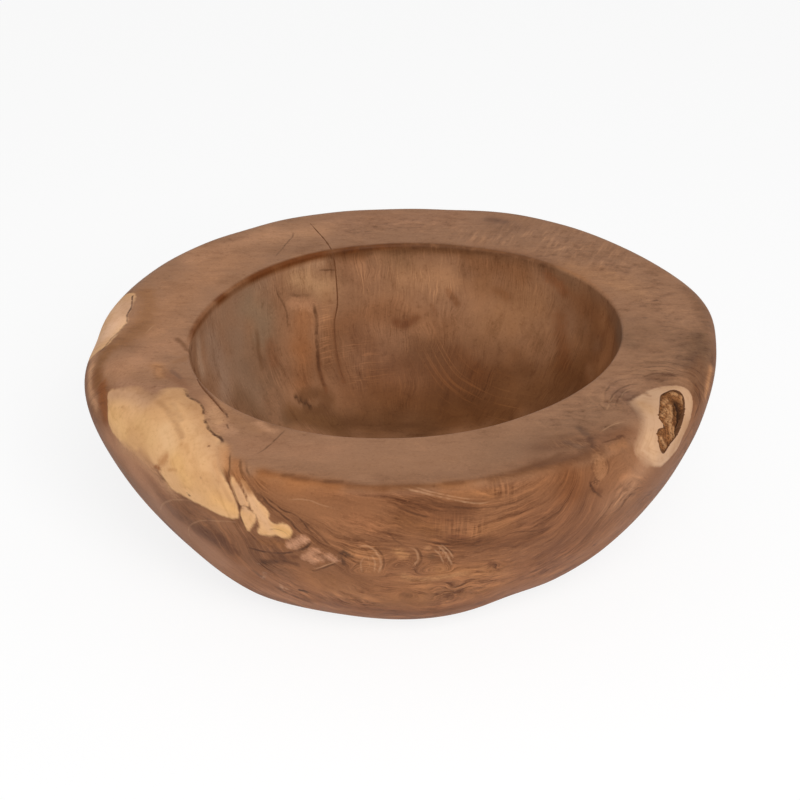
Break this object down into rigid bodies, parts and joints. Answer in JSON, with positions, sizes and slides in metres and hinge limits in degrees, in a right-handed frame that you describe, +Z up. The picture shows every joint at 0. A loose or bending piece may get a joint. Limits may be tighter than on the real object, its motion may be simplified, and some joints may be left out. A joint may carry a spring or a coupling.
{
  "type": "wooden bowl",
  "caption": "Thick-walled bowl carved from one block of root wood, with a broad flat rim, a round hollow and a flat foot, pale sapwood patches, a dead knot and filled drying cracks.",
  "frame": {"origin": "middle of the flat foot, on the surface that the bowl stands on", "axes": "+Z up out of the hollow, +X to the picture's right, +Y away from its camera"},
  "size_m": [0.2989, 0.2989, 0.104],
  "materials": {
    "heartwood": "sanded and thinly oiled, dull satin, brown with wandering growth lines",
    "sapwood": "sanded and thinly oiled, pale straw",
    "knot_ring": "pale ring of wood grown round the knot",
    "knot_heart": "rough dead branch wood, matte, set a little below the surface",
    "crack_filling": "dark wood dust and glue, matte"
  },
  "bodies": {
    "root": {"bowl_body": "heartwood", "sapwood_flank": "sapwood", "sapwood_streak": "sapwood", "knot_collar": "knot_ring", "knot_core": "knot_heart", "crack_filling_back": "crack_filling", "crack_filling_left": "crack_filling"}
  },
  "joints": []
}
